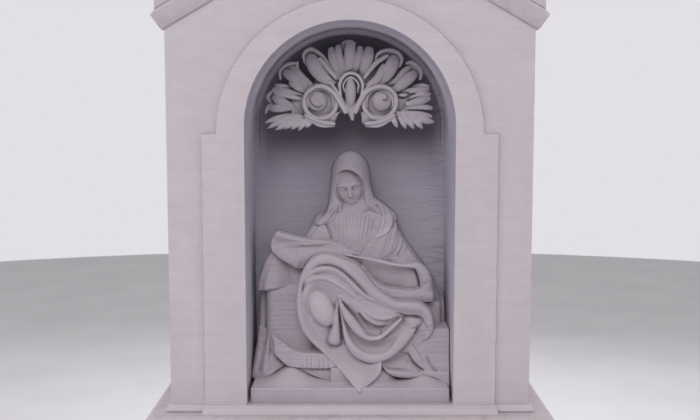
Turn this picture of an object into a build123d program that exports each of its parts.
"""Wayside shrine: a stone pedestal, and on it a small gabled house with an arched niche.

A seated, veiled figure stands on its own base slab in the niche, under an acanthus ornament.
Millimetres, +Z up. The origin is on the ground under the middle of the shrine, and the niche faces -Y.
"""

from build123d import *
import os
from math import atan2, cos, degrees, hypot, radians, sin, tan

# ---- driving sizes of the house and its niche -------------------------------------------------
BODY_HALF_WIDTH = 300
BODY_HALF_DEPTH = 200
WALL_HEIGHT = 622
ROOF_PITCH = 30
NICHE_HALF_WIDTH = 172.5
NICHE_DEPTH = 172
IMPOST_HEIGHT = 452
ARCH_STILT = 11
RELIEF = 6
PILASTER_OUTER = 242
ARCHIVOLT_RADIUS = 218

# ---- heights of the pedestal's courses, from the ground up ------------------------------------
GROUND_COURSE_HEIGHT = 70
PLINTH_HEIGHT = 150
BASE_MOULDING_HEIGHT = 40
DIE_COURSES = 3
DIE_COURSE_HEIGHT = 700 / DIE_COURSES
BED_MOULDING_HEIGHT = 48
CAP_HEIGHT = 40
BASE_COURSE_HEIGHT = 12

# ---- roof: (projection, height above the slope of the wall head) along its moulded edge --------
SPLAY_START, SPLAY_END = (4.5, 0), (19.5, 32)
CORNICE_EDGE, CORNICE_HEIGHT = 13.5, 36.5
ROOF_SLAB_HEIGHT = 39.5
RIDGE_CAP_HALF, RIDGE_CAP_HEIGHT, RIDGE_CAP_OVERHANG = 46, 14, 4

# ---- recess and ornament in the niche's head --------------------------------------------------
RECESS_RADIUS, RECESS_DEPTH, RECESS_DROP = 165, 16, 6
VOLUTE_SPREAD, VOLUTE_RISE, VOLUTE_RADIUS = 54, 45, 31
LEAF_FRONT, LEAF_BACK = -102, -70
CONSOLE_FRONT = -70

# ---- figure and its base slab -----------------------------------------------------------------
FIGURE_BASE_HALF, FIGURE_BASE_HEIGHT, FIGURE_BASE_FRONT = 167, 25, -195
SEAT_HALF, SEAT_FRONT, SEAT_Z = 146, -118, 1240
ROBE_FRONT, SHOULDER_Z, HEAD_Z = -150, 1366, 1479

# ---- levels and planes worked out from those ---------------------------------------------------
PLINTH_Z = GROUND_COURSE_HEIGHT
BASE_MOULDING_Z = PLINTH_Z + PLINTH_HEIGHT
DIE_Z = BASE_MOULDING_Z + BASE_MOULDING_HEIGHT
BED_MOULDING_Z = DIE_Z + DIE_COURSES * DIE_COURSE_HEIGHT
CAP_Z = BED_MOULDING_Z + BED_MOULDING_HEIGHT
BASE_COURSE_Z = CAP_Z + CAP_HEIGHT
SILL_Z = BASE_COURSE_Z + BASE_COURSE_HEIGHT
IMPOST_Z = SILL_Z + IMPOST_HEIGHT
ARCH_Z = IMPOST_Z + ARCH_STILT
EAVES_Z = SILL_Z + WALL_HEIGHT
SLOPE = tan(radians(ROOF_PITCH))
APEX_Z = EAVES_Z + BODY_HALF_WIDTH * SLOPE
WALL_FRONT = -BODY_HALF_DEPTH
NICHE_BACK = WALL_FRONT + NICHE_DEPTH
FIGURE_Z = SILL_Z + FIGURE_BASE_HEIGHT

nodes = {}


def keep(name, shape):
    """Stores a sub-part under its node's name, and returns it."""
    nodes[name] = shape
    return shape


def block(x0, x1, y0, y1, z0, z1):
    """A box between two corners."""
    return Pos((x0 + x1) / 2, (y0 + y1) / 2, (z0 + z1) / 2) * Box(x1 - x0, y1 - y0, z1 - z0)


def upright(sketch, y_front, y_back):
    """A sketch drawn with x across and z up, as a slab from y_front to y_back."""
    return extrude(Plane.XZ.offset(-y_back) * sketch, y_back - y_front)


def polygon(points):
    """A closed face through points."""
    return make_face(Polyline(*points, close=True))


def main_solid(shape):
    """The largest solid of a cut shape, without the crumbs that a cut can leave."""
    return max(shape.solids(), key=lambda solid: solid.volume)


def cut(shape, *others):
    """A shape less its neighbours, as one solid."""
    for other in others:
        shape = shape - other
    return main_solid(shape)


# ---- pedestal ----------------------------------------------------------------------------------
def moulded_course(half_x, half_y, z, outline):
    """A rectangular course whose four edges follow outline(half), the right-hand side from its foot up."""

    def section(half):
        right = outline(half)
        left = [mirror(edge, about=Plane.YZ) for edge in right]
        foot, head = right[0] @ 0, right[-1] @ 1
        base = Line((-foot.X, foot.Y), (foot.X, foot.Y))
        top = Line((-head.X, head.Y), (head.X, head.Y))
        return make_face([base, *right, top, *left])

    reach = 2 * max(half_x, half_y)
    across = extrude(Plane.XZ * section(half_x), reach, both=True)
    along = extrude(Plane.YZ * section(half_y), reach, both=True)
    return Pos(0, 0, z) * main_solid(across & along)


def chamfered_outline(height, chamfer_size):
    """A plain course with a splayed top edge."""
    return lambda half: [
        Line((half, 0), (half, height - chamfer_size)),
        Line((half, height - chamfer_size), (half - chamfer_size, height)),
    ]


def foot_moulding_outline(half):
    """The hollow moulding between plinth and die, narrowing upwards."""
    low, high = half + 26, half + 4
    return [
        Line((low, 0), (low, 9)),
        RadiusArc((low, 9), (high, BASE_MOULDING_HEIGHT - 8), 30),
        Line((high, BASE_MOULDING_HEIGHT - 8), (high, BASE_MOULDING_HEIGHT)),
    ]


def bed_moulding_outline(half):
    """The hollow moulding under the cap, widening upwards."""
    low, high = half + 5, half + 30
    return [
        Line((low, 0), (low, 9)),
        RadiusArc((low, 9), (high, BED_MOULDING_HEIGHT - 9), 34),
        Line((high, BED_MOULDING_HEIGHT - 9), (high, BED_MOULDING_HEIGHT)),
    ]


def cap_outline(half):
    """The cap slab: a small drip, an upright face and a quarter-round nosing."""
    nosing = 14
    face = half + 26 + nosing
    return [
        Line((face - 6, 0), (face, 6)),
        Line((face, 6), (face, CAP_HEIGHT - nosing)),
        RadiusArc((face, CAP_HEIGHT - nosing), (face - nosing, CAP_HEIGHT), -nosing),
    ]


def make_pedestal():
    """The courses below the house."""
    half_x, half_y = BODY_HALF_WIDTH, BODY_HALF_DEPTH
    outline = chamfered_outline(GROUND_COURSE_HEIGHT, 10)
    keep("ground_course", moulded_course(half_x + 60, half_y + 60, 0, outline))
    outline = chamfered_outline(PLINTH_HEIGHT, 6)
    keep("plinth_course", moulded_course(half_x + 32, half_y + 32, PLINTH_Z, outline))
    keep("foot_moulding", moulded_course(half_x, half_y, BASE_MOULDING_Z, foot_moulding_outline))
    for index, name in enumerate(("lower", "middle", "upper")):
        low = DIE_Z + index * DIE_COURSE_HEIGHT
        keep(f"die_{name}_course", block(-half_x, half_x, -half_y, half_y, low, low + DIE_COURSE_HEIGHT))
    keep("bed_moulding", moulded_course(half_x, half_y, BED_MOULDING_Z, bed_moulding_outline))
    keep("cap_slab", moulded_course(half_x, half_y, CAP_Z, cap_outline))


# ---- house -------------------------------------------------------------------------------------
def base_course_outline(half):
    """The thin splayed moulding at the foot of the walls."""
    top = BASE_COURSE_HEIGHT
    return [
        Line((half + 6.5, 0), (half + 8.5, 2.5)),
        Line((half + 8.5, 2.5), (half + 4.5, top - 1.5)),
        Line((half + 4.5, top - 1.5), (half + 3, top)),
    ]


def make_foot_of_house():
    """The sill under niche and pilasters, and the base course round the rest."""
    sill_half = PILASTER_OUTER + 4
    front = WALL_FRONT - RELIEF - 5
    toe = front - 10
    side = [
        Line((NICHE_BACK, 0), (toe, 0)),
        RadiusArc((toe, 0), (front, BASE_COURSE_HEIGHT - 4), -14),
        Line((front, BASE_COURSE_HEIGHT - 4), (front, BASE_COURSE_HEIGHT - 1.5)),
        Line((front, BASE_COURSE_HEIGHT - 1.5), (front + 1.5, BASE_COURSE_HEIGHT)),
        Line((front + 1.5, BASE_COURSE_HEIGHT), (NICHE_BACK, BASE_COURSE_HEIGHT)),
        Line((NICHE_BACK, BASE_COURSE_HEIGHT), (NICHE_BACK, 0)),
    ]
    sill = Pos(0, 0, BASE_COURSE_Z) * extrude(Plane.YZ * make_face(side), sill_half, both=True)
    keep("niche_sill", main_solid(sill))
    room = block(-sill_half, sill_half, toe - 20, NICHE_BACK, BASE_COURSE_Z - 1, SILL_Z + 1)
    course = moulded_course(BODY_HALF_WIDTH, BODY_HALF_DEPTH, BASE_COURSE_Z, base_course_outline)
    keep("base_course", cut(course, room))


def make_walls():
    """Side walls, back wall and the two raised pilasters, up to the impost."""
    inner, outer, depth = NICHE_HALF_WIDTH, BODY_HALF_WIDTH, BODY_HALF_DEPTH
    for name, sign in (("left", -1), ("right", 1)):
        wall_x = sorted((sign * inner, sign * outer))
        pilaster_x = sorted((sign * inner, sign * PILASTER_OUTER))
        keep(f"{name}_side_wall", block(*wall_x, -depth, depth, SILL_Z, IMPOST_Z))
        keep(f"{name}_pilaster", block(*pilaster_x, WALL_FRONT - RELIEF, WALL_FRONT, SILL_Z, IMPOST_Z))
    keep("back_wall", block(-inner, inner, NICHE_BACK, depth, SILL_Z, IMPOST_Z))


def make_arch():
    """The two blocks that meet over the niche, and the raised archivolt on them."""
    r = NICHE_HALF_WIDTH
    crown, haunch = (0, ARCH_Z + r), (r * cos(radians(45)), ARCH_Z + r * sin(radians(45)))
    springing = (r, ARCH_Z)
    half = make_face(
        [
            Polyline(
                springing,
                (r, IMPOST_Z),
                (BODY_HALF_WIDTH, IMPOST_Z),
                (BODY_HALF_WIDTH, EAVES_Z),
                (0, APEX_Z),
                crown,
            ),
            ThreePointArc(crown, haunch, springing),
        ]
    )
    right = main_solid(upright(half, WALL_FRONT, NICHE_BACK))
    keep("right_arch_block", right)
    keep("left_arch_block", mirror(right, about=Plane.YZ))
    opening = Pos(0, ARCH_Z) * Circle(r) + Pos(0, ARCH_Z - 50) * Rectangle(2 * r, 100)
    disc = Pos(0, IMPOST_Z) * Circle(ARCHIVOLT_RADIUS)
    below = Pos(0, IMPOST_Z - ARCHIVOLT_RADIUS) * Rectangle(3 * ARCHIVOLT_RADIUS, 2 * ARCHIVOLT_RADIUS)
    keep("archivolt", main_solid(upright(disc - below - opening, WALL_FRONT - RELIEF, WALL_FRONT)))


def make_back_gable():
    """The block behind the arch, with the round-headed recess that the ornament stands in."""
    gable = polygon(
        [
            (-BODY_HALF_WIDTH, IMPOST_Z),
            (BODY_HALF_WIDTH, IMPOST_Z),
            (BODY_HALF_WIDTH, EAVES_Z),
            (0, APEX_Z),
            (-BODY_HALF_WIDTH, EAVES_Z),
        ]
    )
    low = ARCH_Z - RECESS_DROP
    head = Pos(0, ARCH_Z) * Circle(RECESS_RADIUS)
    below = Pos(0, low - RECESS_RADIUS) * Rectangle(3 * RECESS_RADIUS, 2 * RECESS_RADIUS)
    recess = upright(head - below, NICHE_BACK, NICHE_BACK + RECESS_DEPTH)
    keep("back_gable_block", cut(upright(gable, NICHE_BACK, BODY_HALF_DEPTH), recess))


# ---- roof --------------------------------------------------------------------------------------
def roof_layer(edge):
    """The right half of a sloping layer whose edge runs through (projection, height) points."""
    eave = [(BODY_HALF_WIDTH + out, EAVES_Z - out * SLOPE + up) for out, up in edge]
    across = polygon([(0, APEX_Z + edge[0][1]), *eave, (0, APEX_Z + edge[-1][1])])
    side = [(BODY_HALF_DEPTH + out, APEX_Z + up) for out, up in edge]
    face = polygon([*side, *((-y, z) for y, z in reversed(side))])
    run = Vector(1, 0, -SLOPE)
    down_slope = extrude(Plane.YZ * face, 2 * BODY_HALF_WIDTH, dir=run)
    return main_solid(upright(across, -2 * BODY_HALF_DEPTH, 2 * BODY_HALF_DEPTH) & down_slope)


def make_roof():
    """Cornice course, roof slabs and ridge cap."""
    cornice_edge = [SPLAY_START, SPLAY_END, (CORNICE_EDGE, CORNICE_HEIGHT)]
    slab_edge = [(CORNICE_EDGE, CORNICE_HEIGHT), (CORNICE_EDGE, CORNICE_HEIGHT + ROOF_SLAB_HEIGHT)]
    for name, edge in (("cornice_course", cornice_edge), ("roof_slab", slab_edge)):
        right = roof_layer(edge)
        keep(f"right_{name}", right)
        keep(f"left_{name}", mirror(right, about=Plane.YZ))
    ridge = APEX_Z + CORNICE_HEIGHT + ROOF_SLAB_HEIGHT
    drop = RIDGE_CAP_HALF * SLOPE
    flat = 12
    cap = polygon(
        [
            (0, ridge),
            (RIDGE_CAP_HALF, ridge - drop),
            (RIDGE_CAP_HALF, ridge - drop + RIDGE_CAP_HEIGHT),
            (flat, ridge - flat * SLOPE + RIDGE_CAP_HEIGHT),
            (-flat, ridge - flat * SLOPE + RIDGE_CAP_HEIGHT),
            (-RIDGE_CAP_HALF, ridge - drop + RIDGE_CAP_HEIGHT),
            (-RIDGE_CAP_HALF, ridge - drop),
        ]
    )
    reach = BODY_HALF_DEPTH + CORNICE_EDGE + RIDGE_CAP_OVERHANG
    keep("ridge_cap", main_solid(upright(cap, -reach, reach)))


# ---- ornament in the niche's head ---------------------------------------------------------------
def leaf(x0, z0, x1, z1, r0, r1):
    """A blunt leaf from a stem point to a tip point, with half-widths, above the arch's centre."""
    angle = degrees(atan2(z1 - z0, x1 - x0))
    length = hypot(x1 - x0, z1 - z0) - r1
    blade = polygon([(0, -r0), (length, -r1), (length, r1), (0, r0)])
    drawn = blade + Circle(r0) + Pos(length, 0) * Circle(r1)
    return Pos(x0, z0) * Rot(0, 0, angle) * drawn


def fan(*leaves):
    """Leaves joined into one outline."""
    drawn = leaf(*leaves[0])
    for one in leaves[1:]:
        drawn = drawn + leaf(*one)
    return drawn


def make_ornament():
    """Palmette, volutes and acanthus leaves, carried by a console that grows from the recess."""
    place = Pos(0, ARCH_Z)
    console = Pos(0, 40) * Circle(58) & Pos(0, 50) * Rectangle(150, 90)
    keep("ornament_console", main_solid(upright(place * console, CONSOLE_FRONT, NICHE_BACK + RECESS_DEPTH)))
    volutes = Pos(VOLUTE_SPREAD, VOLUTE_RISE) * Circle(VOLUTE_RADIUS)
    volutes = volutes + Pos(-VOLUTE_SPREAD, VOLUTE_RISE) * Circle(VOLUTE_RADIUS)
    drop = leaf(0, 72, 0, 28, 17, 9)
    keep("pendant_drop", main_solid(upright(place * (drop - volutes), LEAF_FRONT - 8, LEAF_BACK)))
    taken = volutes + drop
    palmette = fan((0, 88, 0, 148, 12, 10), (-8, 86, -30, 138, 8, 13), (8, 86, 30, 138, 8, 13)) - taken
    keep("palmette", main_solid(upright(place * palmette, LEAF_FRONT, LEAF_BACK)))
    taken = taken + palmette
    side_leaves = ((70, 72, 120, 104, 9, 12), (88, 60, 144, 66, 12, 9), (90, 48, 146, 34, 13, 9))
    groups = (
        ("upper_leaves", ((26, 84, 78, 134, 10, 13), (40, 84, 78, 110, 12, 12)), LEAF_FRONT + 4),
        ("side_leaves", side_leaves, LEAF_FRONT + 8),
        ("lower_spray", ((44, 14, 148, 6, 10, 8), (30, 14, 70, 8, 12, 9)), LEAF_FRONT + 2),
    )
    for name, leaves, front in groups:
        drawn = fan(*leaves) - taken
        right = main_solid(upright(place * drawn, front, LEAF_BACK))
        taken = taken + fan(*leaves)
        keep(f"right_{name}", right)
        keep(f"left_{name}", mirror(right, about=Plane.YZ))
    for name, sign in (("right", 1), ("left", -1)):
        coil = place * Pos(sign * VOLUTE_SPREAD, VOLUTE_RISE) * Circle(VOLUTE_RADIUS)
        keep(f"{name}_volute", main_solid(upright(coil, LEAF_FRONT - 4, LEAF_BACK)))


# ---- seated figure -------------------------------------------------------------------------------
def oval_loft(*stations):
    """A smooth body through ovals (z, x, y, half width, half depth)."""
    ovals = [Plane.XY.offset(z) * Pos(x, y) * Ellipse(across, deep) for z, x, y, across, deep in stations]
    return main_solid(loft(ovals))


def front_slab(points, y_front, y_back):
    """A slab with the given outline across and up, between two depths."""
    return upright(polygon(points), y_front, y_back)


def make_figure():
    """Base slab, seat, robe, torso, veiled head, arms and cloths, each up to its neighbours."""
    half = FIGURE_BASE_HALF
    keep("figure_base", block(-half, half, FIGURE_BASE_FRONT, NICHE_BACK, SILL_Z, FIGURE_Z))
    seat = keep("figure_seat", block(-SEAT_HALF, SEAT_HALF, SEAT_FRONT, NICHE_BACK, FIGURE_Z, SEAT_Z))
    torso = oval_loft(
        (SEAT_Z, 6, -72, 84, 44),
        (1290, 6, -74, 62, 40),
        (1335, 6, -74, 66, 38),
        (SHOULDER_Z, 6, -72, 62, 34),
    )
    keep("figure_torso", torso)
    head = oval_loft(
        (SHOULDER_Z, 1, -82, 40, 38),
        (1410, 0, -86, 38, 44),
        (1448, 0, -84, 35, 42),
        (HEAD_Z, 0, -80, 12, 14),
    )
    keep("veiled_head", head)
    robe = [(-128, FIGURE_Z), (128, FIGURE_Z), (128, 1200), (60, SEAT_Z), (-90, SEAT_Z), (-128, 1180)]
    robe = keep("figure_robe", front_slab(robe, ROBE_FRONT, SEAT_FRONT))
    over_knee = [(-92, 1228), (-88, 1260), (-68, 1298), (-34, 1308), (9, 1291), (48, 1248)]
    over_knee = [*over_knee, (83, 1226), (122, 1222)]
    roll_end = [(141, 1201), (143, 1186), (133, 1158), (112, 1162)]
    loop = [(98, 1157), (68, 1133), (50, 1127), (45, 1100), (31, 1088)]
    hanging_edge = [(12, 1088), (-17, 1109), (-51, 1142), (-82, 1177)]
    keep("lap_drapery", front_slab([*over_knee, *roll_end, *loop, *hanging_edge], -182, ROBE_FRONT))
    upper_edge = [(-136, 1312), (-127, 1343), (-86, 1331), (-43, 1327), (-3, 1312), (49, 1295), (112, 1282)]
    right_end = [(133, 1272), (143, 1252), (144, 1226), (100, 1222), (65, 1236)]
    lower_edge = [(20, 1270), (-34, 1290), (-91, 1279), (-121, 1295)]
    cloth = front_slab([*upper_edge, *right_end, *lower_edge], ROBE_FRONT, -95)
    keep("unrolled_cloth", cut(cloth, torso, seat, robe))
    arm = oval_loft((1285, -104, -74, 26, 20), (1330, -80, -72, 24, 20), (1364, -58, -70, 18, 18))
    keep("left_arm", cut(arm, torso))
    mantle = [(50, SHOULDER_Z), (80, SHOULDER_Z), (99, 1320), (117, 1293), (144, 1262), (161, 1228)]
    mantle += [(170, 1193), (170, FIGURE_Z), (SEAT_HALF, FIGURE_Z), (SEAT_HALF, SEAT_Z), (70, SEAT_Z)]
    mantle = front_slab(mantle, -92, -40)
    keep("right_mantle", cut(mantle, torso))
    skirt = [(-SEAT_HALF, FIGURE_Z), (-SEAT_HALF, 1288), (-162, 1240), (-170, 1120), (-170, FIGURE_Z)]
    keep("left_skirt", front_slab(skirt, SEAT_FRONT, -40))


def write_parts():
    """One STEP file for each node."""
    os.makedirs("parts", exist_ok=True)
    for name, shape in nodes.items():
        export_step(shape, f"parts/{name}.step")


make_pedestal()
make_foot_of_house()
make_walls()
make_arch()
make_back_gable()
make_roof()
make_ornament()
make_figure()
write_parts()
